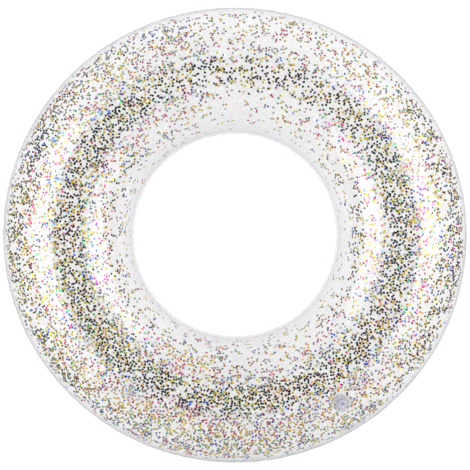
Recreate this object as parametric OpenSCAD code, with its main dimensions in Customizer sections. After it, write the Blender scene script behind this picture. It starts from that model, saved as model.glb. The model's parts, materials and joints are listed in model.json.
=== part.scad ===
// Inflatable swim ring: two ring-shaped films welded along their outer and inner edges, loose foil
// dots sealed between them, and one push-in inflation valve on the upper film.
// +Z is up and the origin is the middle of the ring on the surface that it rests on.

/* [Ring] */
// Outer diameter over the welded seam
ring_d = 900; // [860:10:1200]
// Diameter of the centre hole inside the welded seam
hole_d = 396; // [300:2:440]
// Thickness of each film
skin_t = 0.8; // [0.6:0.1:1.2]
// Width of the welded seam
seam_w = 4; // [2:0.5:8]
// Depth by which the underside flattens where the ring rests
rest_flat = 1.5; // [0.5:0.5:4]

/* [Valve] */
// Direction of the valve round the ring, in degrees from +X
valve_azimuth = -57.5; // [-180:0.5:180]
// Lean of the valve outward from the top of the tube, in degrees
valve_lean = 31.5; // [0:1:45]
// Diameter of the flange welded to the upper film
flange_d = 38; // [34:0.5:44]
// Thickness of the flange
flange_t = 1; // [0.8:0.1:1.6]
// Diameter of the pocket that the stem is pushed into
pocket_d = 25; // [24.5:0.5:28]
// Wall thickness of the folding cuff that lines the pocket
cuff_t = 0.7; // [0.5:0.1:0.8]
// Outer diameter of the stem
stem_d = 13; // [12:0.5:13.5]
// Length of the stem
stem_l = 20.5; // [19:0.5:24]
// Bore of the stem
bore_d = 8.1; // [7.6:0.1:8.6]

/* [Plug] */
// Diameter of the plug's head
head_d = 19.4; // [19:0.2:20.4]
// Thickness of the plug's head
head_t = 2.8; // [2.4:0.2:3.2]
// Height of the head above the film at rest
head_proud = 0.6; // [0.2:0.2:1.2]
// Length of the shank that closes the bore
shank_l = 9; // [6:0.5:10]
// Radial clearance of the shank in the bore
shank_clear = 0.05; // [0.02:0.01:0.1]
// Diameter of the dimple in the head
dimple_d = 5.2; // [4:0.2:6]
// Depth of the dimple
dimple_l = 5; // [3:0.5:8]

/* [Foil dots] */
// Diameter of one foil dot
dot_d = 4.5; // [3:0.5:6]
// Thickness of one foil dot
dot_t = 0.1; // [0.05:0.05:0.2]
// Number of foil dots under each film
dots_per_skin = 180; // [20:10:240]

/* [Hidden] */
$fn = 180;

// Tube
tube_r = (ring_d - hole_d) / 4 - seam_w;
tube_centre = (ring_d + hole_d) / 4;
seam_z = tube_r - rest_flat;
seam_root = skin_t / 2;

// Valve, in its own frame: +Z outward along the valve, zero on the outside of the film
pocket_r = pocket_d / 2;
stem_r = stem_d / 2;
bore_r = bore_d / 2;
joint_gap = 0.3;
head_top = flange_t + head_proud;
head_bottom = head_top - head_t;
head_r = head_d / 2;
head_chamfer = head_t / 3;
shank_r = bore_r - shank_clear;
shank_bottom = head_bottom - shank_l;
stem_top = head_bottom - joint_gap;
stem_bottom = stem_top - stem_l;
rim_chamfer = 0.6;

// Bead round the top of the stem
bead_r = 0.7;
bead_z = stem_top - 1.6;

// Foot of the stem, and the cuff's floor that is welded round it
foot_r = 9;
foot_t = 3;
floor_z = stem_bottom + 1;
cuff_top = 0.3;
cuff_chamfer = 1.6;

// Check flap under the foot, and the lug that it hinges on
flap_r = 5.8;
flap_t = 0.8;
flap_top = stem_bottom - joint_gap;
flap_z = flap_top - flap_t / 2;
flap_hinge_x = 7.4;
flap_tab_w = 5;
lug_x = flap_hinge_x + flap_t / 2 + joint_gap;
lug_h = 1.3;

// Strap that ties the plug to the stem, folded once in the pocket
strap_t = 0.8;
strap_w = 4;
strap_ring_h = 3;
strap_ring_top = bead_z - bead_r - 1;
strap_inner = stem_r;
strap_outer = head_r - head_chamfer - strap_t;
strap_fold_z = stem_top - 10;
strap_fold_r = (strap_outer - strap_inner + strap_t) / 2;
strap_fold_x = strap_inner + strap_fold_r;

// Foil dots, clear of the film, the flattened underside and the valve
dot_gap = 0.5;
dot_r = tube_r - skin_t - rest_flat - dot_gap - dot_t;
dot_lean = 80;
dot_keep_clear = pocket_r + 16;
golden_turn = 137.508;

// A point inside the tube: azimuth round the ring, lean from the top of the tube, distance from its middle
function in_tube(azimuth, lean, r) = [
    (tube_centre + r * sin(lean)) * cos(azimuth),
    (tube_centre + r * sin(lean)) * sin(azimuth),
    seam_z + r * cos(lean)
];

// Places children on the tube with +Z outward, at the given distance from the tube's middle
module on_tube(azimuth, lean, r) {
    translate([0, 0, seam_z])
        rotate([0, 0, azimuth])
            translate([tube_centre, 0, 0])
                rotate([0, lean, 0])
                    translate([0, 0, r])
                        children();
}

// Places children in the valve's own frame
module at_valve() {
    on_tube(valve_azimuth, valve_lean, tube_r)
        children();
}

// Section of the tube with radius r, cut off at height lift
module tube_disc(r, lift) {
    intersection() {
        translate([tube_centre, seam_z])
            circle(r);
        translate([tube_centre - r, lift])
            square([2 * r, 2 * r]);
    }
}

// Section of the film all round the tube
module skin_section() {
    difference() {
        tube_disc(tube_r, 0);
        tube_disc(tube_r - skin_t, skin_t);
    }
}

// Section of one film's half of the two welded seams, with its lower face at height z
module seam_section(z) {
    translate([hole_d / 2, z])
        square([seam_w + seam_root, skin_t]);
    translate([ring_d / 2 - seam_w - seam_root, z])
        square([seam_w + seam_root, skin_t]);
}

// Section of one half of the film, above or below the seam
module half_section(z) {
    intersection() {
        skin_section();
        translate([0, z])
            square([ring_d, 2 * tube_r]);
    }
}

module upper_skin() {
    color([0.92, 0.93, 0.94, 0.35])
        difference() {
            rotate_extrude() {
                half_section(seam_z);
                seam_section(seam_z);
            }
            at_valve()
                cylinder(h = 4 * skin_t + 4, r = pocket_r, center = true);
        }
}

module lower_skin() {
    color([0.88, 0.89, 0.90, 0.35])
        rotate_extrude() {
            half_section(seam_z - 2 * tube_r);
            seam_section(seam_z - skin_t);
        }
}

// Dots spread evenly over the half of the tube whose middle leans by mid_lean from the top
module dots(mid_lean) {
    for (i = [0 : dots_per_skin - 1]) {
        azimuth = i * golden_turn;
        lean = mid_lean + dot_lean * (2 * (i + 0.5) / dots_per_skin - 1);
        from_valve = norm(in_tube(azimuth, lean, tube_r) - in_tube(valve_azimuth, valve_lean, tube_r));
        if (from_valve > dot_keep_clear)
            on_tube(azimuth, lean, dot_r)
                cylinder(h = dot_t, d = dot_d);
    }
}

module glitter_upper() {
    color("gold")
        dots(0);
}

module glitter_lower() {
    color("mediumorchid")
        dots(180);
}

module valve_flange() {
    color([0.85, 0.86, 0.90])
        difference() {
            intersection() {
                rotate_extrude()
                    translate([tube_centre, seam_z])
                        difference() {
                            circle(tube_r + flange_t);
                            circle(tube_r);
                        }
                at_valve()
                    cylinder(h = flange_d / 2, d = flange_d, center = true);
            }
            at_valve()
                cylinder(h = flange_d, r = pocket_r, center = true);
        }
}

module valve_cuff() {
    color([0.80, 0.82, 0.88])
        at_valve()
            rotate_extrude()
                polygon([
                    [pocket_r, cuff_top],
                    [pocket_r, floor_z + cuff_chamfer],
                    [pocket_r - cuff_chamfer, floor_z],
                    [foot_r + joint_gap, floor_z],
                    [foot_r + joint_gap, floor_z + cuff_t],
                    [pocket_r - cuff_chamfer, floor_z + cuff_t],
                    [pocket_r - cuff_t, floor_z + cuff_chamfer + cuff_t],
                    [pocket_r - cuff_t, cuff_top]
                ]);
}

module stem_section() {
    polygon([
        [bore_r, stem_top],
        [stem_r - rim_chamfer, stem_top],
        [stem_r, stem_top - rim_chamfer],
        [stem_r, stem_bottom + foot_t],
        [foot_r, stem_bottom + foot_t],
        [foot_r, stem_bottom],
        [bore_r, stem_bottom]
    ]);
    translate([stem_r, bead_z])
        circle(bead_r);
}

module valve_stem() {
    color([0.78, 0.80, 0.87])
        at_valve() {
            rotate_extrude()
                stem_section();
            translate([lug_x, -flap_tab_w / 2, stem_bottom - lug_h])
                cube([foot_r - lug_x, flap_tab_w, lug_h]);
        }
}

module plug_section() {
    polygon([
        [0, head_top],
        [head_r - head_chamfer, head_top],
        [head_r, head_top - head_chamfer],
        [head_r, head_bottom + head_chamfer],
        [head_r - head_chamfer, head_bottom],
        [shank_r, head_bottom],
        [shank_r, shank_bottom + rim_chamfer],
        [shank_r - rim_chamfer, shank_bottom],
        [0, shank_bottom]
    ]);
}

module valve_plug() {
    color([0.62, 0.64, 0.78])
        at_valve()
            difference() {
                rotate_extrude()
                    plug_section();
                translate([0, 0, head_top - dimple_l])
                    cylinder(h = dimple_l + 1, d = dimple_d);
            }
}

// Outline of the strap from the side, from the ring on the stem down, round its fold and up to the head
module strap_outline() {
    translate([strap_inner, strap_fold_z])
        square([strap_t, strap_ring_top - strap_fold_z]);
    translate([strap_outer, strap_fold_z])
        square([strap_t, stem_top - strap_fold_z]);
    intersection() {
        translate([strap_fold_x, strap_fold_z])
            difference() {
                circle(strap_fold_r);
                circle(strap_fold_r - strap_t);
            }
        translate([strap_inner, strap_fold_z - strap_fold_r])
            square([2 * strap_fold_r, strap_fold_r]);
    }
}

module plug_strap() {
    color([0.66, 0.68, 0.80])
        at_valve()
            difference() {
                union() {
                    translate([0, 0, strap_ring_top - strap_ring_h])
                        cylinder(h = strap_ring_h, r = stem_r + strap_t);
                    rotate([90, 0, 180])
                        linear_extrude(height = strap_w, center = true)
                            strap_outline();
                }
                translate([0, 0, strap_ring_top - 2 * strap_ring_h])
                    cylinder(h = 3 * strap_ring_h, r = stem_r);
            }
}

module check_flap() {
    color([0.90, 0.90, 0.94])
        at_valve()
            translate([0, 0, flap_z]) {
                cylinder(h = flap_t, r = flap_r, center = true);
                translate([0, -flap_tab_w / 2, -flap_t / 2])
                    cube([flap_hinge_x, flap_tab_w, flap_t]);
                translate([flap_hinge_x, 0, 0])
                    rotate([90, 0, 0])
                        cylinder(h = flap_tab_w, d = flap_t, center = true);
            }
}

upper_skin();
lower_skin();
glitter_upper();
glitter_lower();
valve_flange();
valve_cuff();
valve_stem();
valve_plug();
plug_strap();
check_flap();
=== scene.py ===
import json
import math
import random

import bmesh
import bpy
import numpy as np
from mathutils import Matrix, Vector


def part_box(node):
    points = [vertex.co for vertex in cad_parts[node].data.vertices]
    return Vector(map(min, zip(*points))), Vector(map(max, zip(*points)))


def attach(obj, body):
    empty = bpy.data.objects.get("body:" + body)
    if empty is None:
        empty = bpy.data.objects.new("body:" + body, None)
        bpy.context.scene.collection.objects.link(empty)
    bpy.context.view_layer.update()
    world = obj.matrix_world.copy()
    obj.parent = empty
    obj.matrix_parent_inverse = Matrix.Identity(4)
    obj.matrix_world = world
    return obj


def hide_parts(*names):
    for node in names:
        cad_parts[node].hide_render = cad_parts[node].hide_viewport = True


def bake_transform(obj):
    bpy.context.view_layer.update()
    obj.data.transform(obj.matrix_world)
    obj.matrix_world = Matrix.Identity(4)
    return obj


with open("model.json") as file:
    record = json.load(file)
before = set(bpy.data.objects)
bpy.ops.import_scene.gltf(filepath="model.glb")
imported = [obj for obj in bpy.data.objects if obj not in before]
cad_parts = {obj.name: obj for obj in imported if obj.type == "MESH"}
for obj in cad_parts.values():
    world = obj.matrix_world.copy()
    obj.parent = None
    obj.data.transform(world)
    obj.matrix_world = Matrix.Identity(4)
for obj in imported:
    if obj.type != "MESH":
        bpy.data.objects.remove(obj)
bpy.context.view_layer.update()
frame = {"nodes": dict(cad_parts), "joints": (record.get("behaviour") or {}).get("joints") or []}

random.seed(31)
dice = np.random.default_rng(31)

# ---------------------------------------------------------------------------------------------
# Sizes, in metres, from the frame
# ---------------------------------------------------------------------------------------------

MM = 0.001
SKIN_LOW, SKIN_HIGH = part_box("upper_skin")
SEAM_Z = SKIN_LOW.z
RING_R = SKIN_HIGH.x
HOLE_R = min(math.hypot(v.co.x, v.co.y) for v in frame["nodes"]["upper_skin"].data.vertices)
SEAM_W = 4 * MM
TUBE_R = (RING_R - HOLE_R) / 2 - SEAM_W
TUBE_MID = (RING_R + HOLE_R) / 2
FILM_T = 0.45 * MM
RING_STEPS = 640
TUBE_STEPS = 96

# The outline is a little wider than it is deep
OVAL = 4.4 * MM

# Small folds that run inward from the outer weld, each a valley between two low banks
PUCKERS = 96
PUCKER_STRAY = 0.45
PUCKER_DEPTH = (0.2 * MM, 0.9 * MM)
PUCKER_WIDTH = (2.2 * MM, 5 * MM)
PUCKER_LENGTH = (8 * MM, 34 * MM)
PUCKER_SKEW = 0.35
BANK_HEIGHT = 0.45
BANK_AT = 1.7

# Foil dots: most lie almost flat on the film, some are loose, and those near the outer weld stand up
DOT_R = 2.35 * MM
DOT_T = 0.12 * MM
DOT_SIDES = 8
DOT_LIFT = 0.35 * MM
DOT_TILT = math.radians(5)
LOOSE_TILT = math.radians(24)
RIM_TILT = math.radians(20)
RIM_TILT_FROM = 0.55
RIM_TILT_OVER = 0.35
LOOSE = 0.18
DOTS_PER_FILM = 6150
DOT_SPACE = 1.96 * DOT_R
CLINGING = 0.05

# Where the dots have gathered round the ring, or left: azimuth and spread in degrees, share more
HEAPS = [
    (0, 25, 0.3), (78, 40, -0.62), (145, 25, 0.1), (215, 50, 0.5), (268, 28, 0.2), (310, 25, -0.12),
]

# How the dots thin out towards the hole and near the outer weld, and crowd along the top of the tube
HOLE_FADE = 0.96
HOLE_LEAST = 0.13
RIM_THIN = 0.45
RIM_FROM = 0.6
RIM_OVER = 0.35
CREST_MORE = 0.9
CREST_WIDTH = 0.3
MOST_CROWDED = 3.4
BARE_NEAR_WELD = (0.12, 0.34)

# No dots lie this near the valve's middle, and few a little further off
BARE_AT_VALVE = 15 * MM
SPARSE_AT_VALVE = 20 * MM
SPARSE_SKIPS = 0.8

# The share of brushed dots; how often the hues come round across the tube and how firmly they hold, a
# painted reflection colour that stands in for the foil's diffraction colours, which change with the angle to
# the light
BRUSHED = 0.29
PAINTED_HUE_BANDS = 3
PAINTED_HUE_HOLD = 0.9

# Valve, from its slide joint: origin on the outside of the film, Z outward
joints = {joint["name"]: joint for joint in frame["joints"]}
VALVE_AXIS = Vector(joints["stem_pull"]["axis"]).normalized()
VALVE_AZIMUTH = math.atan2(VALVE_AXIS.y, VALVE_AXIS.x)
VALVE_LEAN = math.acos(VALVE_AXIS.z)
ROUND_STEPS = 72
POCKET_R = 12.5 * MM
STRAP_T = 0.8 * MM
STRAP_W = 4 * MM
STRAP_INNER = 6.9 * MM
STRAP_OUTER = 8.37 * MM
STRAP_TOP = 4.9 * MM
STRAP_END = 1.25 * MM
STRAP_FOLD = 11.5 * MM
FLAP_Z = -22.7 * MM
FLAP_HINGE_X = 7.4 * MM


def tube_point(azimuth, lean, radius):
    """A point in the tube: azimuth round the ring, lean outward from its top, distance from its middle."""
    reach = TUBE_MID + radius * math.sin(lean)
    return Vector((reach * math.cos(azimuth), reach * math.sin(azimuth), SEAM_Z + radius * math.cos(lean)))


VALVE_AT = tube_point(VALVE_AZIMUTH, VALVE_LEAN, TUBE_R)
VALVE_FRAME = (
    Matrix.Translation(VALVE_AT)
    @ Matrix.Rotation(VALVE_AZIMUTH, 4, "Z")
    @ Matrix.Rotation(VALVE_LEAN, 4, "Y")
)


# ---------------------------------------------------------------------------------------------
# Shape of the film
# ---------------------------------------------------------------------------------------------

class Puckers:
    """Folds along the outer weld: in the same places on both films, but each of its own length."""

    def __init__(self):
        spread = np.arange(PUCKERS) + dice.uniform(-PUCKER_STRAY, PUCKER_STRAY, PUCKERS)
        self.azimuth = 2 * math.pi * spread / PUCKERS
        self.depth = dice.uniform(*PUCKER_DEPTH, PUCKERS)
        self.width = dice.uniform(*PUCKER_WIDTH, PUCKERS)
        self.length = {side: dice.uniform(*PUCKER_LENGTH, PUCKERS) for side in (1, -1)}
        self.skew = {side: dice.uniform(-PUCKER_SKEW, PUCKER_SKEW, PUCKERS) for side in (1, -1)}

    def offset(self, azimuth, from_weld, side):
        """How far the film sinks, given its distance from the outer weld."""
        total = np.zeros_like(azimuth)
        for k in range(PUCKERS):
            along = np.exp(-((from_weld / self.length[side][k]) ** 2))
            turn = np.angle(np.exp(1j * (azimuth - self.azimuth[k])))
            across = (turn * RING_R - self.skew[side][k] * from_weld) / self.width[k]
            valley = np.exp(-(across ** 2))
            banks = np.exp(-((across - BANK_AT) ** 2)) + np.exp(-((across + BANK_AT) ** 2))
            banks = BANK_HEIGHT * banks
            total += self.depth[k] * along * (banks - valley)
        return total


puckers = Puckers()

# Slow swells of the whole film, as waves round the ring and round the tube, and waves of the outer seam
SWELLS = [(2, 1), (5, -2), (9, 3), (14, 2), (23, -5), (31, 7), (47, -9)]
SWELL_HEIGHT = 0.5 * MM
SEAM_WAVES = [(7, 0.5 * MM), (13, 0.35 * MM), (29, 0.25 * MM)]
SEAM_WAVE_REACH = 25 * MM
swell_phases = dice.uniform(0, 2 * math.pi, len(SWELLS))
wave_phases = dice.uniform(0, 2 * math.pi, len(SEAM_WAVES))

# The film stays true this near to the valve, and comes back to its swells over the next stretch
TRUE_AT_VALVE = 24 * MM
TRUE_EASE = 50 * MM


def clear_of_valve(x, y, z):
    """0 at the valve, so that the film stays true where the flange is welded to it, and 1 further off."""
    away = np.sqrt((x - VALVE_AT.x) ** 2 + (y - VALVE_AT.y) ** 2 + (z - VALVE_AT.z) ** 2)
    share = np.clip((away - TRUE_AT_VALVE) / TRUE_EASE, 0, 1)
    return share * share * (3 - 2 * share)


def film_points(azimuth, lean, radius):
    """Points on the film, or at another distance from the tube's middle, with all its unevenness."""
    side = np.where(np.cos(lean) >= -1e-9, 1, -1)
    reach = TUBE_MID + radius * np.sin(lean)
    x = reach * np.cos(azimuth)
    y = reach * np.sin(azimuth)
    z = SEAM_Z + radius * np.cos(lean)
    from_weld = TUBE_R * np.arccos(np.clip(np.sin(lean), -1, 1))
    above, below = (puckers.offset(azimuth, from_weld, which) for which in (1, -1))
    folds = np.where(side > 0, above, below)
    swells = sum(
        SWELL_HEIGHT / (1 + m / 4) * np.sin(m * azimuth + n * lean + phase)
        for (m, n), phase in zip(SWELLS, swell_phases)
    )
    push = (folds + swells * np.abs(np.cos(lean))) * clear_of_valve(x, y, z)
    outer = np.clip(0.5 + 0.5 * np.sin(lean), 0, 1)
    widen = OVAL * np.cos(2 * azimuth) * outer * clear_of_valve(x, y, z)
    across = push * np.sin(lean) + widen
    x += across * np.cos(azimuth)
    y += across * np.sin(azimuth)
    lift = sum(
        height * np.sin(m * azimuth + phase)
        for (m, height), phase in zip(SEAM_WAVES, wave_phases)
    )
    z += push * np.cos(lean) + lift * np.exp(-((from_weld / SEAM_WAVE_REACH) ** 2))
    return x, y, z


# ---------------------------------------------------------------------------------------------
# Modelling helpers
# ---------------------------------------------------------------------------------------------

def deselect():
    if bpy.context.object and bpy.context.object.mode != "OBJECT":
        bpy.ops.object.mode_set(mode="OBJECT")
    bpy.ops.object.select_all(action="DESELECT")


def fresh(name):
    """The primitive that was just added, named, with its place in its mesh."""
    piece = bpy.context.object
    piece.name = name
    piece.data.name = name
    piece.data.transform(piece.matrix_world)
    piece.matrix_world = Matrix.Identity(4)
    return piece


def edit(piece):
    """Opens a piece in edit mode with nothing selected."""
    deselect()
    bpy.context.view_layer.objects.active = piece
    piece.select_set(True)
    bpy.ops.object.mode_set(mode="EDIT")
    bpy.ops.mesh.select_all(action="DESELECT")


def select_edges(piece, wanted):
    """Selects the edges that pass a test on the edge, and nothing else."""
    bpy.ops.mesh.select_mode(type="EDGE")
    bpy.ops.mesh.select_all(action="DESELECT")
    mesh = bmesh.from_edit_mesh(piece.data)
    mesh.edges.ensure_lookup_table()
    for edge in mesh.edges:
        edge.select_set(wanted(edge))
    bmesh.update_edit_mesh(piece.data)


def close_edit(piece, angle=40):
    """Merges doubles, points the faces outward and shades the piece smooth."""
    bpy.ops.mesh.select_all(action="SELECT")
    bpy.ops.mesh.remove_doubles(threshold=0.01 * MM)
    bpy.ops.mesh.normals_make_consistent(inside=False)
    bpy.ops.object.mode_set(mode="OBJECT")
    bpy.ops.object.shade_smooth_by_angle(angle=math.radians(angle))


def apply_modifier(piece, kind, **settings):
    """Adds a modifier, sets it and applies it."""
    deselect()
    bpy.context.view_layer.objects.active = piece
    piece.select_set(True)
    modifier = piece.modifiers.new(kind.title(), kind)
    for name, value in settings.items():
        setattr(modifier, name, value)
    bpy.ops.object.modifier_apply(modifier=modifier.name)


def turned(name, outline, solid=False, steps=ROUND_STEPS):
    """A piece turned about Z from an outline of (radius, height). A hollow one's ends where it starts."""
    deselect()
    radius, height = outline[0]
    bpy.ops.mesh.primitive_circle_add(
        vertices=steps, radius=radius, location=(0, 0, height), fill_type="NGON" if solid else "NOTHING"
    )
    piece = fresh(name)
    edit(piece)
    bpy.ops.mesh.select_all(action="SELECT")
    for next_radius, next_height in outline[1:]:
        rise = (0, 0, next_height - height)
        bpy.ops.mesh.extrude_region_move(TRANSFORM_OT_translate={"value": rise})
        grow = next_radius / radius
        bpy.ops.transform.resize(value=(grow, grow, 1), center_override=(0, 0, next_height))
        radius, height = next_radius, next_height
    close_edit(piece)
    return piece


def to_valve(piece):
    """Moves a piece that was made at the origin to the valve, in its mesh."""
    piece.data.transform(VALVE_FRAME)
    return piece


def dress(piece, material):
    piece.data.materials.clear()
    piece.data.materials.append(material)


# ---------------------------------------------------------------------------------------------
# Materials
# ---------------------------------------------------------------------------------------------

# Each colour of foil in the order of its hue, and how often mirror-like dots and brushed ones have it
FOIL = {
    "gold": ((0.70, 0.42, 0.001), 0.10, 0.40),
    "olive": ((0.58, 0.53, 0.001), 0.06, 0.40),
    "green": ((0.01, 0.32, 0.12), 0.10, 0.04),
    "blue": ((0.01, 0.09, 0.60), 0.13, 0.03),
    "silver": ((0.45, 0.45, 0.45), 0.38, 0.04),
    "pink": ((0.54, 0.005, 0.20), 0.14, 0.03),
    "crimson": ((0.44, 0.005, 0.06), 0.07, 0.03),
    "orange": ((0.66, 0.22, 0.005), 0.05, 0.03),
}
FOIL_PALE = (0.7, 0.7, 0.7, 1)

# The film's sheen: straight on, how much more at a grazing angle, and how much more along the weld
FILM_SHEEN = 0.022
FILM_SHEEN_STEEP = 0.2
WELD_SHEEN = 0.09
OUTER_WELD = 0.7
INNER_WELD = 0.15
# Painted rainbow glints: how much of a coloured speckle goes into the film's see-through colour, standing in
# for light thrown by the foil
PAINTED_RAINBOW_GLINTS = 0.045
FILM_EDGE_TINT = (0.90, 0.90, 0.91, 1)
CREASE_WIDTH = 0.012
CREASE_AT = (0.56, 0.66)

MOULDED_TINT = (0.975, 0.972, 0.985, 1)
MOULDED_STEEP = 0.3
ROUGHNESS_SPREAD = 0.07


def new_material(name):
    material = bpy.data.materials.new(name)
    material.use_nodes = True
    nodes = material.node_tree.nodes
    nodes.clear()
    output = nodes.new("ShaderNodeOutputMaterial")
    return material, nodes, material.node_tree.links, output


def new_group(name, inputs, outputs):
    """A shader node group with float inputs and the named outputs."""
    group = bpy.data.node_groups.new(name, "ShaderNodeTree")
    for label, value in inputs:
        socket = group.interface.new_socket(name=label, in_out="INPUT", socket_type="NodeSocketFloat")
        socket.default_value = value
    for label, kind in outputs:
        group.interface.new_socket(name=label, in_out="OUTPUT", socket_type=kind)
    nodes = group.nodes
    return group, nodes, group.links, nodes.new("NodeGroupInput"), nodes.new("NodeGroupOutput")


def feed(links, value, socket):
    """Links a socket's value to another, or sets it if it is a plain one."""
    if isinstance(value, bpy.types.NodeSocket):
        links.new(value, socket)
    else:
        socket.default_value = value


def math_node(nodes, links, operation, first, second):
    node = nodes.new("ShaderNodeMath")
    node.operation = operation
    for socket, value in zip(node.inputs, (first, second)):
        feed(links, value, socket)
    return node.outputs[0]


def times_plus(nodes, links, value, factor, more):
    """The value times the factor, plus more."""
    return math_node(nodes, links, "ADD", math_node(nodes, links, "MULTIPLY", value, factor), more)


def faded(nodes, links, value, start, end, before=0.0, after=1.0):
    """A smooth step from one value to another as the first goes from start to end."""
    step = nodes.new("ShaderNodeMapRange")
    step.interpolation_type = "SMOOTHSTEP"
    for label, number in (("From Min", start), ("From Max", end), ("To Min", before), ("To Max", after)):
        step.inputs[label].default_value = number
    links.new(value, step.inputs["Value"])
    return step.outputs[0]


def ranged(nodes, links, value, low, high):
    """A value of 0 to 1 spread from low to high."""
    spread = nodes.new("ShaderNodeMapRange")
    spread.inputs["To Min"].default_value = low
    spread.inputs["To Max"].default_value = high
    links.new(value, spread.inputs["Value"])
    return spread.outputs[0]


def object_place(nodes):
    return nodes.new("ShaderNodeTexCoord").outputs["Object"]


def attribute(nodes, name):
    node = nodes.new("ShaderNodeAttribute")
    node.attribute_name = name
    return node.outputs["Fac"]


def noise(nodes, links, place, scale, detail, distortion=0):
    node = nodes.new("ShaderNodeTexNoise")
    node.inputs["Detail"].default_value = detail
    node.inputs["Distortion"].default_value = distortion
    links.new(place, node.inputs["Vector"])
    feed(links, scale, node.inputs["Scale"])
    return node.outputs["Fac"]


def bumped(nodes, links, height, strength, distance, normal=None):
    """A normal roughened by a height, over another normal if there is one."""
    bump = nodes.new("ShaderNodeBump")
    bump.inputs["Distance"].default_value = distance
    feed(links, strength, bump.inputs["Strength"])
    links.new(height, bump.inputs["Height"])
    if normal:
        links.new(normal, bump.inputs["Normal"])
    return bump.outputs["Normal"]


def mixed_colour(nodes, links, factor, first, second):
    mix = nodes.new("ShaderNodeMix")
    mix.data_type = "RGBA"
    for label, value in (("Factor", factor), ("A", first), ("B", second)):
        feed(links, value, mix.inputs[label])
    return mix.outputs["Result"]


def steepness(nodes, links, power, normal=None):
    """How steeply the surface is seen: 0 straight on and 1 edge on, raised to a power."""
    weight = nodes.new("ShaderNodeLayerWeight")
    weight.inputs["Blend"].default_value = 0.5
    if normal:
        links.new(normal, weight.inputs["Normal"])
    return math_node(nodes, links, "POWER", weight.outputs["Facing"], power)


def cover(nodes, links, share, through, body, output):
    """Lays a body over a see-through shader by its share, and puts both out."""
    mix = nodes.new("ShaderNodeMixShader")
    links.new(share, mix.inputs["Fac"])
    links.new(through.outputs[0], mix.inputs[1])
    links.new(body.outputs[0], mix.inputs[2])
    links.new(mix.outputs[0], output.inputs["Surface"])


def make_surface_group():
    """Soft mottling and fine grain of moulded vinyl: a mask and a normal."""
    group, nodes, links, given, out = new_group(
        "vinyl_surface",
        [("Mottle Scale", 60), ("Grain Scale", 900), ("Grain Height", 0.1)],
        [("Mottle", "NodeSocketFloat"), ("Normal", "NodeSocketVector")],
    )
    place = object_place(nodes)
    mottle = noise(nodes, links, place, given.outputs["Mottle Scale"], 3)
    links.new(mottle, out.inputs["Mottle"])
    grain = noise(nodes, links, place, given.outputs["Grain Scale"], 2)
    normal = bumped(nodes, links, grain, given.outputs["Grain Height"], 0.4 * MM)
    links.new(normal, out.inputs["Normal"])
    return group


surface_group = make_surface_group()


def place_surface(nodes, mottle_scale, grain_scale, grain_height):
    surface = nodes.new("ShaderNodeGroup")
    surface.node_tree = surface_group
    surface.inputs["Mottle Scale"].default_value = mottle_scale
    surface.inputs["Grain Scale"].default_value = grain_scale
    surface.inputs["Grain Height"].default_value = grain_height
    return surface


def creased(nodes, links, place, normal):
    """A normal with a few fine crease lines on it, each where a noise crosses its middle value."""
    line = noise(nodes, links, place, 9, 1, distortion=1.2)
    rare = noise(nodes, links, place, 7, 0)
    from_line = math_node(nodes, links, "SUBTRACT", line, 0.5)
    from_line = math_node(nodes, links, "ABSOLUTE", from_line, 0)
    crease = faded(nodes, links, from_line, CREASE_WIDTH, 0)
    here = faded(nodes, links, rare, *CREASE_AT)
    crease = math_node(nodes, links, "MULTIPLY", crease, here)
    return bumped(nodes, links, crease, 0.5, 0.3 * MM, normal)


def film_tint(nodes, links, place, weld):
    """The colour the film gives to what is behind it: painted rainbow glints that stand in for light thrown
    by the foil, greyer edge on and at the weld.
    """
    # Painted rainbow glints, a speckle of colour laid into what the film lets through
    glint_speckle = nodes.new("ShaderNodeTexVoronoi")
    glint_speckle.inputs["Scale"].default_value = 270
    links.new(place, glint_speckle.inputs["Vector"])
    painted_glints = mixed_colour(nodes, links, PAINTED_RAINBOW_GLINTS, (1, 1, 1, 1), glint_speckle.outputs["Color"])
    edge_on = nodes.new("ShaderNodeLayerWeight")
    edge_on.inputs["Blend"].default_value = 0.25
    grey = math_node(nodes, links, "MAXIMUM", edge_on.outputs["Facing"], weld)
    return mixed_colour(nodes, links, grey, painted_glints, FILM_EDGE_TINT)


def clear_vinyl():
    """Clear film, with painted rainbow glints in the colour it lets through, which mirrors more at a grazing
    angle and at its weld.
    """
    material, nodes, links, output = new_material("clear_vinyl")
    place = object_place(nodes)
    weld = attribute(nodes, "weld")
    ripple = noise(nodes, links, place, 14, 2.5)
    rippled = bumped(nodes, links, ripple, 0.2, 1 * MM)

    shine = nodes.new("ShaderNodeBsdfPrincipled")
    shine.inputs["Base Color"].default_value = (0.95, 0.95, 0.96, 1)
    shine.inputs["Metallic"].default_value = 0.75
    shine.inputs["Roughness"].default_value = 0.06
    links.new(creased(nodes, links, place, rippled), shine.inputs["Normal"])

    through = nodes.new("ShaderNodeBsdfTransparent")
    links.new(film_tint(nodes, links, place, weld), through.inputs["Color"])

    steep = steepness(nodes, links, 5, rippled)
    share = times_plus(nodes, links, steep, FILM_SHEEN_STEEP, FILM_SHEEN)
    share = times_plus(nodes, links, weld, WELD_SHEEN, share)
    cover(nodes, links, share, through, shine, output)
    return material


def foil_colour(nodes, links):
    """Each dot's colour, some of them paler: its own hue, leaning by its place across the tube to the
    painted diffraction colours.
    """
    ramp = nodes.new("ShaderNodeValToRGB")
    ramp.color_ramp.interpolation = "CONSTANT"
    stops = ramp.color_ramp.elements
    while len(stops) > 1:
        stops.remove(stops[-1])
    for i, (colour, _, _) in enumerate(FOIL.values()):
        stop = stops[0] if i == 0 else stops.new(i / len(FOIL))
        stop.color = (*colour, 1)
    links.new(attribute(nodes, "dot_hue_with_painted_bands"), ramp.inputs["Fac"])
    return mixed_colour(nodes, links, attribute(nodes, "dot_pale"), ramp.outputs["Color"], FOIL_PALE)


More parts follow.
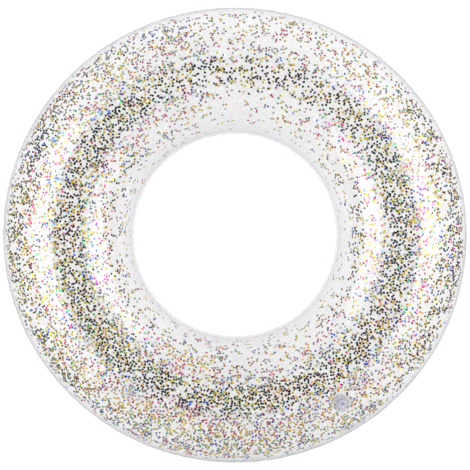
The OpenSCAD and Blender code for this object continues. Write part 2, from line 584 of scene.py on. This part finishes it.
def holographic_foil():
    """Foil in many colours: some dots bright as a mirror and some brushed by their fine grooves."""
    material, nodes, links, output = new_material("holographic_foil")
    grooves = nodes.new("ShaderNodeTexWave")
    grooves.inputs["Scale"].default_value = 1200
    grooves.inputs["Distortion"].default_value = 3
    links.new(object_place(nodes), grooves.inputs["Vector"])
    grooved = bumped(nodes, links, grooves.outputs["Fac"], 0.12, 0.02 * MM)

    grain = attribute(nodes, "dot_grain")
    foil = nodes.new("ShaderNodeBsdfPrincipled")
    foil.inputs["Specular IOR Level"].default_value = 0.1
    links.new(ranged(nodes, links, grain, 1, 0.35), foil.inputs["Metallic"])
    links.new(ranged(nodes, links, grain, 0.07, 0.55), foil.inputs["Roughness"])
    links.new(foil_colour(nodes, links), foil.inputs["Base Color"])
    links.new(grooved, foil.inputs["Normal"])
    links.new(foil.outputs[0], output.inputs["Surface"])
    return material


def moulded_vinyl(name, light, dark, opaque, roughness):
    """Soft moulded vinyl, slightly see-through and unevenly cloudy."""
    material, nodes, links, output = new_material(name)
    surface = place_surface(nodes, 160, 1500, 0.12)
    mottle = surface.outputs["Mottle"]
    low, high = roughness - ROUGHNESS_SPREAD, roughness + ROUGHNESS_SPREAD

    body = nodes.new("ShaderNodeBsdfPrincipled")
    body.inputs["Subsurface Weight"].default_value = 0.35
    body.inputs["Subsurface Radius"].default_value = (1, 1, 1)
    body.inputs["Subsurface Scale"].default_value = 2 * MM
    links.new(mixed_colour(nodes, links, mottle, (*dark, 1), (*light, 1)), body.inputs["Base Color"])
    links.new(ranged(nodes, links, mottle, low, high), body.inputs["Roughness"])
    links.new(surface.outputs["Normal"], body.inputs["Normal"])

    through = nodes.new("ShaderNodeBsdfTransparent")
    through.inputs["Color"].default_value = MOULDED_TINT
    share = times_plus(nodes, links, steepness(nodes, links, 3), MOULDED_STEEP, opaque)
    cover(nodes, links, share, through, body, output)
    return material


# ---------------------------------------------------------------------------------------------
# Films
# ---------------------------------------------------------------------------------------------

def shape_film(piece):
    """Gives the plain half tube and its seam lips the shape of the inflated film."""
    count = len(piece.data.vertices)
    co = np.empty(count * 3)
    piece.data.vertices.foreach_get("co", co)
    co = co.reshape(-1, 3)
    azimuth = np.arctan2(co[:, 1], co[:, 0])
    out = np.hypot(co[:, 0], co[:, 1]) - TUBE_MID
    up = co[:, 2] - SEAM_Z
    radius = np.hypot(out, up)
    weld = piece.data.attributes.new("weld", "FLOAT", "POINT")
    at_weld = np.where(out > 0, OUTER_WELD, INNER_WELD)
    welded = np.where(radius > TUBE_R + SEAM_W / 20, at_weld, 0)
    weld.data.foreach_set("value", welded.astype(np.float32))
    lean = np.arctan2(out, up)
    co[:, 0], co[:, 1], co[:, 2] = film_points(azimuth, lean, radius)
    co[:, 2] = np.maximum(co[:, 2], 0)
    piece.data.vertices.foreach_set("co", co.ravel())
    piece.data.update()


def film(name, side):
    """One film: the half of the tube above (side 1) or below (side -1) the weld, and its seam lips."""
    deselect()
    bpy.ops.mesh.primitive_torus_add(
        location=(0, 0, SEAM_Z), major_radius=TUBE_MID, minor_radius=TUBE_R,
        major_segments=RING_STEPS, minor_segments=TUBE_STEPS,
    )
    piece = fresh(name)
    edit(piece)
    bpy.ops.mesh.select_all(action="SELECT")
    centre = (0, 0, SEAM_Z + side * FILM_T)
    bpy.ops.mesh.bisect(plane_co=centre, plane_no=(0, 0, side), clear_inner=True, threshold=0.01 * MM)
    for sign, start in ((1, TUBE_MID + TUBE_R), (-1, TUBE_MID - TUBE_R)):
        select_edges(piece, lambda edge: edge.is_boundary and is_near_radius(edge, start))
        radius = start
        for step in (0.25, 0.75):
            bpy.ops.mesh.extrude_region_move(TRANSFORM_OT_translate={"value": (0, 0, 0)})
            grow = (radius + sign * step * SEAM_W) / radius
            bpy.ops.transform.resize(value=(grow, grow, 1), center_override=centre)
            radius += sign * step * SEAM_W
    bpy.ops.mesh.select_all(action="SELECT")
    bpy.ops.mesh.normals_make_consistent(inside=False)
    if faces_inward(piece):
        bpy.ops.mesh.flip_normals()
    bpy.ops.object.mode_set(mode="OBJECT")
    shape_film(piece)
    return piece


def faces_inward(piece):
    """True if the faces of a half tube that is open in edit mode look into the tube."""
    mesh = bmesh.from_edit_mesh(piece.data)
    mesh.normal_update()
    highest = max(mesh.faces, key=lambda face: abs(face.calc_center_median().z - SEAM_Z))
    return highest.normal.z * (highest.calc_center_median().z - SEAM_Z) < 0


def is_near_radius(edge, radius):
    middle = (edge.verts[0].co + edge.verts[1].co) / 2
    return abs(math.hypot(middle.x, middle.y) - radius) < SEAM_W / 2


def thicken(piece):
    """Gives a film its thickness, inward."""
    apply_modifier(piece, "SOLIDIFY", thickness=FILM_T, offset=-1, use_even_offset=True)
    bpy.ops.object.shade_smooth_by_angle(angle=math.radians(50))


def cut_valve_hole(piece):
    """Cuts the opening for the valve through a film."""
    deselect()
    bpy.ops.mesh.primitive_cylinder_add(vertices=ROUND_STEPS, radius=POCKET_R + 0.05 * MM, depth=12 * MM)
    cutter = to_valve(fresh("cutter"))
    apply_modifier(piece, "BOOLEAN", operation="DIFFERENCE", solver="EXACT", object=cutter)
    bpy.data.objects.remove(cutter)
    bpy.ops.object.shade_smooth_by_angle(angle=math.radians(50))


vinyl = clear_vinyl()
for film_name, film_side in (("upper_film", 1), ("lower_film", -1)):
    skin = film(film_name, film_side)
    thicken(skin)
    if film_side > 0:
        cut_valve_hole(skin)
    dress(skin, vinyl)
    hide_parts(film_name.replace("film", "skin"))
    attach(skin, "ring")


# ---------------------------------------------------------------------------------------------
# Foil dots
# ---------------------------------------------------------------------------------------------

def dot_template():
    """One foil dot at the origin, flat in XY: its corners and its faces."""
    deselect()
    bpy.ops.mesh.primitive_cylinder_add(vertices=DOT_SIDES, radius=DOT_R, depth=DOT_T)
    dot = fresh("dot")
    corners = np.array([v.co for v in dot.data.vertices])
    faces = [list(p.vertices) for p in dot.data.polygons]
    bpy.data.objects.remove(dot)
    return corners, faces


def gathered(azimuth):
    """How much the dots have gathered in this part of the ring."""
    total = 1
    for middle, spread, more in HEAPS:
        turn = math.degrees(azimuth) - middle
        total += more * math.exp(-((((turn + 180) % 360 - 180) / spread) ** 2))
    return total


def drifts(azimuth, lean, drift):
    """Small drifts of the dots, set by three chance turns."""
    wide = math.sin(5 * azimuth + 3 * lean + drift[0])
    narrow = math.sin(11 * azimuth - 4 * lean + drift[1])
    fine = math.sin(23 * azimuth + 9 * lean + drift[2])
    return 1 + 0.22 * wide * narrow + 0.18 * fine


def crowding(azimuth, lean, drift):
    """How likely a spot holds a dot."""
    outward = math.sin(lean)
    inner = min(max(1 + HOLE_FADE * outward, HOLE_LEAST), 1)
    rim = 1 - RIM_THIN * min(max((outward - RIM_FROM) / RIM_OVER, 0), 1)
    crest = 1 + CREST_MORE * math.exp(-((outward / CREST_WIDTH) ** 2))
    share = (TUBE_MID + TUBE_R * outward) / (TUBE_MID + TUBE_R)
    uneven = gathered(azimuth)
    return share * inner * uneven * crest * rim * drifts(azimuth, lean, drift) / MOST_CROWDED


def beside(placed):
    """A spot next to one of the dots placed last, so that some dots cling together."""
    near_azimuth, near_lean = random.choice(placed[-400:])
    turn = random.uniform(0, 2 * math.pi)
    step = DOT_SPACE * random.uniform(1, 1.25)
    reach = TUBE_MID + TUBE_R * math.sin(near_lean)
    return near_azimuth + step * math.cos(turn) / reach, near_lean + step * math.sin(turn) / TUBE_R


def bare(spot, lean, side):
    """Whether a spot is left bare, by chance: near the weld or near the valve."""
    if math.cos(lean) * side < random.uniform(*BARE_NEAR_WELD):
        return True
    from_valve = (spot - VALVE_AT).length
    return from_valve < BARE_AT_VALVE or (from_valve < SPARSE_AT_VALVE and random.random() < SPARSE_SKIPS)


def too_close(spot, cell, taken):
    """Whether a dot in this cell or one beside it lies closer than two dots can."""
    near = (
        (cell[0] + i, cell[1] + j, cell[2] + k)
        for i in (-1, 0, 1) for j in (-1, 0, 1) for k in (-1, 0, 1)
    )
    return any((spot - other).length < DOT_SPACE for beside_it in near for other in taken.get(beside_it, ()))


def strewn(side):
    """Azimuths and leans of one film's dots, none of them over another."""
    taken = {}
    placed = []
    middle = 0 if side > 0 else math.pi
    drift = dice.uniform(0, 2 * math.pi, 3)
    while len(placed) < DOTS_PER_FILM:
        if placed and random.random() < CLINGING:
            azimuth, lean = beside(placed)
        else:
            azimuth = random.uniform(0, 2 * math.pi)
            lean = middle + random.uniform(-0.5, 0.5) * math.pi
            if random.random() > crowding(azimuth, lean, drift):
                continue
        spot = tube_point(azimuth, lean, TUBE_R)
        if bare(spot, lean, side):
            continue
        cell = tuple(int(math.floor(v / DOT_SPACE)) for v in spot)
        if too_close(spot, cell, taken):
            continue
        taken.setdefault(cell, []).append(spot)
        placed.append((azimuth, lean))
    return placed


def foil_picks(azimuth, lean, brushed):
    """The colour of each dot: by chance, but leaning to one hue after the other across the tube, a painted
    reflection colour in place of the foil's diffraction by angle.
    """
    shares = np.array([share for _, *share in FOIL.values()])
    own = np.where(brushed[:, None], shares[:, 1], shares[:, 0])
    drift = 0.14 * np.sin(3 * azimuth + 1)
    drift += 0.1 * np.sin(7 * azimuth + 2)
    drift += 0.16 * np.sin(29 * azimuth + 13 * lean)
    # Painted reflection colour: the hue leans by the dot's place across the tube, standing in for the foil's
    # diffraction colours
    painted_hue_band = PAINTED_HUE_BANDS * np.abs(np.sin(lean)) / 2 + drift
    places = np.arange(len(FOIL)) / len(FOIL)
    own = own * np.exp(PAINTED_HUE_HOLD * np.cos(2 * math.pi * (painted_hue_band[:, None] - places)))
    steps = np.cumsum(own, axis=1) / own.sum(axis=1)[:, None]
    return (dice.uniform(0, 1, len(lean))[:, None] > steps).sum(axis=1)


def dot_tilts(side, lean):
    """How far each dot tips out of the film, about the ring and about the tube."""
    count = len(lean)
    most = np.where(dice.uniform(0, 1, count) < LOOSE, LOOSE_TILT, DOT_TILT)
    tilt = dice.normal(0, most / 2, (2, count)).clip(-most, most)
    tilt[0] -= side * RIM_TILT * np.clip((np.sin(lean) - RIM_TILT_FROM) / RIM_TILT_OVER, 0, 1)
    return tilt


def dot_corners(corners, azimuth, lean, tilt):
    """The corners of every dot, each dot set against the film with its own spin."""
    count = len(lean)
    lift = DOT_LIFT + DOT_R * np.maximum(np.hypot(*tilt) - DOT_TILT / 2, 0)
    x, y, z = film_points(azimuth, lean, TUBE_R - FILM_T - lift)
    z = np.maximum(z, FILM_T + lift)
    spin = dice.uniform(0, 2 * math.pi, count)
    places = np.empty((count, len(corners), 3))
    for i in range(count):
        turn = (
            Matrix.Translation((x[i], y[i], z[i]))
            @ Matrix.Rotation(azimuth[i], 4, "Z")
            @ Matrix.Rotation(lean[i] + tilt[0, i], 4, "Y")
            @ Matrix.Rotation(tilt[1, i], 4, "X")
            @ Matrix.Rotation(spin[i], 4, "Z")
        )
        turn = np.array(turn)
        places[i] = corners @ turn[:3, :3].T + turn[:3, 3]
    return places


def foil_finish(mesh, azimuth, lean, corners_each):
    """Gives every dot its hue, its grain and its paleness."""
    count = len(lean)
    brushed = dice.uniform(0, 1, count) < BRUSHED
    hue = (foil_picks(azimuth, lean, brushed) + 0.5) / len(FOIL)
    grain = np.where(brushed, dice.uniform(0.75, 1, count), dice.uniform(0, 0.08, count))
    pale = np.where(brushed, dice.uniform(0, 0.12, count), dice.uniform(0, 0.6, count) ** 2)
    for label, values in (("dot_hue_with_painted_bands", hue), ("dot_grain", grain), ("dot_pale", pale)):
        layer = mesh.attributes.new(label, "FLOAT", "POINT")
        layer.data.foreach_set("value", np.repeat(values, corners_each).astype(np.float32))


def glitter(name, side):
    """All the dots that lie against one film, as one piece."""
    corners, faces = dot_template()
    placed = np.array(strewn(side))
    azimuth, lean = placed[:, 0], placed[:, 1]
    places = dot_corners(corners, azimuth, lean, dot_tilts(side, lean))
    mesh = bpy.data.meshes.new(name)
    shift = len(corners)
    all_faces = [[i * shift + v for v in face] for i in range(len(placed)) for face in faces]
    mesh.from_pydata(places.reshape(-1, 3).tolist(), [], all_faces)
    piece = bpy.data.objects.new(name, mesh)
    bpy.context.scene.collection.objects.link(piece)
    foil_finish(mesh, azimuth, lean, shift)
    return piece


foil = holographic_foil()
for film_name, film_side in (("upper", 1), ("lower", -1)):
    dots = glitter("foil_dots_" + film_name, film_side)
    dress(dots, foil)
    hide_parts("glitter_" + film_name)
    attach(dots, "ring")


# ---------------------------------------------------------------------------------------------
# Valve
# ---------------------------------------------------------------------------------------------

def block(name, low, high):
    """A plain block between two corners."""
    deselect()
    bpy.ops.mesh.primitive_cube_add(size=1)
    piece = fresh(name)
    middle = [(a + b) / 2 for a, b in zip(low, high)]
    size = [b - a for a, b in zip(low, high)]
    piece.data.transform(Matrix.Translation(middle) @ Matrix.Diagonal((*size, 1)))
    return piece


def joined(piece, *others):
    deselect()
    for other in others:
        other.select_set(True)
    piece.select_set(True)
    bpy.context.view_layer.objects.active = piece
    bpy.ops.object.join()
    return piece


def in_mm(outline):
    return [(radius * MM, height * MM) for radius, height in outline]


def drape(piece):
    """Lowers a flat piece at the valve on to the curve of the tube."""
    across_r = (TUBE_MID + TUBE_R * math.sin(VALVE_LEAN)) / math.sin(VALVE_LEAN)
    for vertex in piece.data.vertices:
        x, y, _ = vertex.co
        vertex.co.z -= TUBE_R - math.sqrt(TUBE_R ** 2 - x * x) + y * y / (2 * across_r)


def make_flange():
    """The round patch welded to the film, with its weld groove and thin edge."""
    outline = in_mm([
        (12.5, 0.03), (12.5, 0.95), (12.9, 1.12), (14.3, 1.12), (14.7, 0.85), (15.3, 0.85),
        (15.7, 1.05), (16.5, 1.05), (16.9, 0.8), (18.3, 0.7), (18.9, 0.35), (19, 0.03), (12.5, 0.03),
    ])
    piece = turned("valve_flange_soft", outline)
    drape(piece)
    return piece


def make_cuff():
    """The thin sleeve that lines the pocket, in the shape it has while the stem is pushed in."""
    return turned("valve_cuff_soft", in_mm([
        (12.5, 0.3), (12.5, -5.5), (12.2, -6.5), (12.5, -7.5), (12.5, -12.5), (12.2, -13.5),
        (12.5, -14.5), (12.5, -19.2), (12.1, -20.4), (10.9, -21), (9.35, -21), (9.35, -20.3),
        (10.8, -20.3), (11.5, -19.8), (11.8, -19), (11.8, -14.5), (11.5, -13.5), (11.8, -12.5),
        (11.8, -7.5), (11.5, -6.5), (11.8, -5.5), (11.8, 0.3), (12.5, 0.3),
    ]))


def make_stem():
    """The stem that is squeezed and blown into, with its bead, its foot and the lug of the flap."""
    stem = turned("valve_stem_soft", in_mm([
        (4.05, -1.9), (4.45, -1.5), (5.9, -1.5), (6.4, -1.8), (6.5, -2.3), (7.0, -2.7), (7.2, -3.1),
        (7.0, -3.5), (6.5, -3.9), (6.5, -18.2), (6.9, -18.9), (8.5, -19), (9, -19.4), (9, -21.6),
        (8.6, -22), (4.45, -22), (4.05, -21.6), (4.05, -1.9),
    ]))
    lug = block("lug", (8.1 * MM, -2.5 * MM, -23.3 * MM), (8.95 * MM, 2.5 * MM, -21.9 * MM))
    return joined(stem, lug)


def make_plug():
    """The push-in plug, with a ringed head and a dimple for a fingertip."""
    return turned("valve_plug_soft", in_mm([
        (3.0, -10.2), (3.7, -9.95), (4.0, -9.3), (4.0, -1.6), (4.3, -1.2), (8.9, -1.2), (9.5, -0.8),
        (9.7, -0.2), (9.7, 0.8), (9.5, 1.35), (9.0, 1.6), (8.3, 1.6), (7.9, 1.3), (7.5, 1.15),
        (5.5, 1.15), (5.1, 1.3), (4.7, 1.5), (3.4, 1.5), (2.85, 1.3), (2.6, 0.8), (2.6, -3.1), (2.2, -3.4),
    ]), solid=True)


def make_strap():
    """The strap from the ring on the stem, down and round its fold, up to the plug's head."""
    deselect()
    bpy.ops.mesh.primitive_plane_add(size=1)
    strap = fresh("plug_strap_soft")
    strap.data.transform(
        Matrix.Translation((-STRAP_INNER, 0, -STRAP_TOP)) @ Matrix.Diagonal((STRAP_T, STRAP_W, 1, 1))
    )
    edit(strap)
    bpy.ops.mesh.select_all(action="SELECT")
    for _ in range(4):
        drop = (0, 0, -(STRAP_FOLD - STRAP_TOP) / 4)
        bpy.ops.mesh.extrude_region_move(TRANSFORM_OT_translate={"value": drop})
    fold_middle = (-(STRAP_INNER + STRAP_OUTER) / 2, 0, -STRAP_FOLD)
    for _ in range(8):
        bpy.ops.mesh.extrude_region_move(TRANSFORM_OT_translate={"value": (0, 0, 0)})
        bpy.ops.transform.rotate(value=-math.pi / 8, orient_axis="Y", center_override=fold_middle)
    for _ in range(6):
        rise = (0, 0, (STRAP_FOLD - STRAP_END) / 6)
        bpy.ops.mesh.extrude_region_move(TRANSFORM_OT_translate={"value": rise})
    close_edit(strap)
    ring = turned("strap_ring", in_mm([
        (6.52, -7.6), (6.7, -7.8), (7.1, -7.8), (7.3, -7.6), (7.3, -5.0), (7.1, -4.8), (6.7, -4.8),
        (6.52, -5.0), (6.52, -7.6),
    ]))
    return joined(strap, ring)


def make_flap():
    """The round check flap under the foot, with its tab and its rounded hinge edge."""
    disc = turned("check_flap_soft", in_mm([
        (5.5, -23.1), (5.8, -22.95), (5.8, -22.5), (5.55, -22.3),
    ]), solid=True)
    tab = block("tab", (5 * MM, -2.5 * MM, FLAP_Z - 0.4 * MM), (FLAP_HINGE_X, 2.5 * MM, FLAP_Z + 0.4 * MM))
    deselect()
    bpy.ops.mesh.primitive_cylinder_add(
        vertices=16, radius=0.4 * MM, depth=5 * MM,
        location=(FLAP_HINGE_X, 0, FLAP_Z), rotation=(math.pi / 2, 0, 0),
    )
    return joined(disc, tab, fresh("hinge_edge"))


def finish_valve_piece(piece, node, material, bevel=0.15):
    """Rounds a valve piece, puts it at the valve and lets it take the place of its CAD part."""
    apply_modifier(
        piece, "BEVEL", width=bevel * MM, segments=2, limit_method="ANGLE", angle_limit=math.radians(50)
    )
    bpy.ops.object.shade_smooth_by_angle(angle=math.radians(40))
    to_valve(piece)
    dress(piece, material)
    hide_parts(node)


flange_vinyl = moulded_vinyl("flange_vinyl", (0.97, 0.97, 0.98), (0.94, 0.94, 0.96), 0.14, 0.3)
valve_vinyl = moulded_vinyl("valve_vinyl", (0.95, 0.94, 0.99), (0.91, 0.90, 0.96), 0.48, 0.3)
plug_vinyl = moulded_vinyl("plug_vinyl", (0.88, 0.86, 0.98), (0.81, 0.79, 0.95), 0.5, 0.33)

flange = make_flange()
finish_valve_piece(flange, "valve_flange", flange_vinyl)
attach(flange, "ring")

cuff = make_cuff()
finish_valve_piece(cuff, "valve_cuff", valve_vinyl, bevel=0.1)
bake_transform(cuff)

stem = make_stem()
finish_valve_piece(stem, "valve_stem", valve_vinyl)
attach(stem, "stem")

plug = make_plug()
finish_valve_piece(plug, "valve_plug", plug_vinyl)
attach(plug, "plug")

strap = make_strap()
finish_valve_piece(strap, "plug_strap", plug_vinyl, bevel=0.1)
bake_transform(strap)

flap = make_flap()
finish_valve_piece(flap, "check_flap", valve_vinyl, bevel=0.08)
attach(flap, "flap")


# ---------------------------------------------------------------------------------------------
# Stage, light and camera
# ---------------------------------------------------------------------------------------------

FLOOR_SIZE = 30
FLOOR_TONE = 0.62
FLOOR_GLOW = 0.51
# Painted shade on the floor, seen only in what mirrors it: where it starts and ends across X, and how much
# of the floor's tone and glow is left
PAINTED_FLOOR_SHADE_SPAN = (0.5, 0.75)
PAINTED_FLOOR_SHADE_LEFT = 0.06

# Two large softboxes: azimuth and angle from straight above
LIGHT_DISTANCE = 2.7
BOX_LIGHT = 2.3
BOX_SIZE = (2.2, 1.65)
BOXES = {"softbox_left": (174, 48), "softbox_right": (19, 50)}

# Surroundings: brighter to the sides and the back, dark in a round patch overhead and low at the sides
SKY = 0.75
SKY_AT_SIDES = 0.22
SKY_SLOPE = 0.15
SKY_SHOWN = 1.0
DARK_TIP = 5
DARK_EDGE = (33, 22)
DARK_LEFT = 0.02
SIDE_GLOOM = 0.9
GLOOM_LOW = (0.4, 0.26)
GLOOM_SIDEWAYS = (0.62, 0.85)

CAMERA_HEIGHT = 9
VIEW_WIDTH = 0.9206
SENSOR_WIDTH = 36


def make_floor():
    """A pale floor lit a little from below, with painted shade: what mirrors it sees it darken towards the
    two far sides.
    """
    deselect()
    bpy.ops.mesh.primitive_plane_add(size=FLOOR_SIZE, location=(0, 0, -0.4 * MM))
    floor = fresh("floor")
    material, nodes, links, output = new_material("pale_floor")
    split = nodes.new("ShaderNodeSeparateXYZ")
    links.new(object_place(nodes), split.inputs[0])
    to_side = math_node(nodes, links, "ABSOLUTE", split.outputs["X"], 0)
    # Painted shade: rays that are not from the camera see the floor darker towards the two far sides, in
    # place of dark surroundings there
    painted_side_shade = faded(nodes, links, to_side, *PAINTED_FLOOR_SHADE_SPAN, 1, PAINTED_FLOOR_SHADE_LEFT)
    to_camera = nodes.new("ShaderNodeLightPath").outputs["Is Camera Ray"]
    shade = math_node(nodes, links, "MAXIMUM", painted_side_shade, to_camera)
    paint = nodes.new("ShaderNodeBsdfPrincipled")
    paint.inputs["Roughness"].default_value = 0.8
    colour = nodes.new("ShaderNodeCombineColor")
    tone = math_node(nodes, links, "MULTIPLY", shade, FLOOR_TONE)
    for socket in colour.inputs[:3]:
        links.new(tone, socket)
    links.new(colour.outputs[0], paint.inputs["Base Color"])
    paint.inputs["Emission Color"].default_value = (1, 1, 1, 1)
    links.new(math_node(nodes, links, "MULTIPLY", shade, FLOOR_GLOW), paint.inputs["Emission Strength"])
    links.new(paint.outputs[0], output.inputs["Surface"])
    dress(floor, material)


def softbox(name, azimuth, from_zenith):
    """A soft rectangular light that faces the middle of the ring."""
    width, height = BOX_SIZE
    data = bpy.data.lights.new(name, "AREA")
    data.shape = "RECTANGLE"
    data.size = width
    data.size_y = height
    data.energy = 4 * BOX_LIGHT * width * height
    light = bpy.data.objects.new(name, data)
    bpy.context.scene.collection.objects.link(light)
    turn, tip = math.radians(azimuth), math.radians(from_zenith)
    away = Vector((math.sin(tip) * math.cos(turn), math.sin(tip) * math.sin(turn), math.cos(tip)))
    light.location = away * LIGHT_DISTANCE
    light.rotation_euler = (-away).to_track_quat("-Z", "Y").to_euler()


def sky_glow(nodes, links):
    """The surroundings' brightness in each direction."""
    direction = nodes.new("ShaderNodeTexCoord").outputs["Generated"]
    split = nodes.new("ShaderNodeSeparateXYZ")
    links.new(direction, split.inputs[0])
    to_side = math_node(nodes, links, "ABSOLUTE", split.outputs["X"], 0)
    glow = math_node(nodes, links, "MULTIPLY", to_side, SKY_AT_SIDES)
    glow = times_plus(nodes, links, split.outputs["Y"], SKY_SLOPE, glow)
    glow = math_node(nodes, links, "ADD", glow, SKY)
    glow = math_node(nodes, links, "MULTIPLY", glow, dark_overhead(nodes, links, direction))

    low = faded(nodes, links, split.outputs["Z"], *GLOOM_LOW)
    sideways = faded(nodes, links, to_side, *GLOOM_SIDEWAYS)
    gloom = math_node(nodes, links, "MULTIPLY", low, sideways)
    gloom = math_node(nodes, links, "MULTIPLY", gloom, SIDE_GLOOM)
    kept = math_node(nodes, links, "SUBTRACT", 1, gloom)
    return math_node(nodes, links, "MULTIPLY", glow, kept)


def dark_overhead(nodes, links, direction):
    """A round dark patch almost straight overhead."""
    overhead = nodes.new("ShaderNodeVectorMath")
    overhead.operation = "DOT_PRODUCT"
    tip = math.radians(DARK_TIP)
    overhead.inputs[1].default_value = (0, -math.sin(tip), math.cos(tip))
    links.new(direction, overhead.inputs[0])
    edge, core = (math.cos(math.radians(angle)) for angle in DARK_EDGE)
    return faded(nodes, links, overhead.outputs["Value"], edge, core, 1, DARK_LEFT)


def make_sky():
    """Pale surroundings, seen as plain white behind the ring."""
    world = bpy.data.worlds.new("studio")
    bpy.context.scene.world = world
    world.use_nodes = True
    nodes, links = world.node_tree.nodes, world.node_tree.links
    nodes.clear()
    to_camera = nodes.new("ShaderNodeLightPath").outputs["Is Camera Ray"]
    shown = nodes.new("ShaderNodeMix")
    links.new(to_camera, shown.inputs["Factor"])
    links.new(sky_glow(nodes, links), shown.inputs["A"])
    shown.inputs["B"].default_value = SKY_SHOWN
    back = nodes.new("ShaderNodeBackground")
    back.inputs["Color"].default_value = (1, 1, 1, 1)
    links.new(shown.outputs["Result"], back.inputs["Strength"])
    out = nodes.new("ShaderNodeOutputWorld")
    links.new(back.outputs[0], out.inputs["Surface"])


def make_camera():
    """The camera, high over the middle of the ring and looking straight down."""
    data = bpy.data.cameras.new("camera")
    data.sensor_width = SENSOR_WIDTH
    data.lens = SENSOR_WIDTH * CAMERA_HEIGHT / VIEW_WIDTH
    data.clip_end = 50
    camera = bpy.data.objects.new("camera", data)
    bpy.context.scene.collection.objects.link(camera)
    camera.location = (0, 0, SEAM_Z + CAMERA_HEIGHT)
    camera.rotation_euler = (0, 0, 0)
    bpy.context.scene.camera = camera


make_floor()
make_sky()
for box_name, (box_azimuth, box_tip) in BOXES.items():
    softbox(box_name, box_azimuth, box_tip)
make_camera()
bpy.context.scene.view_settings.view_transform = "Standard"

bpy.context.view_layer.update()
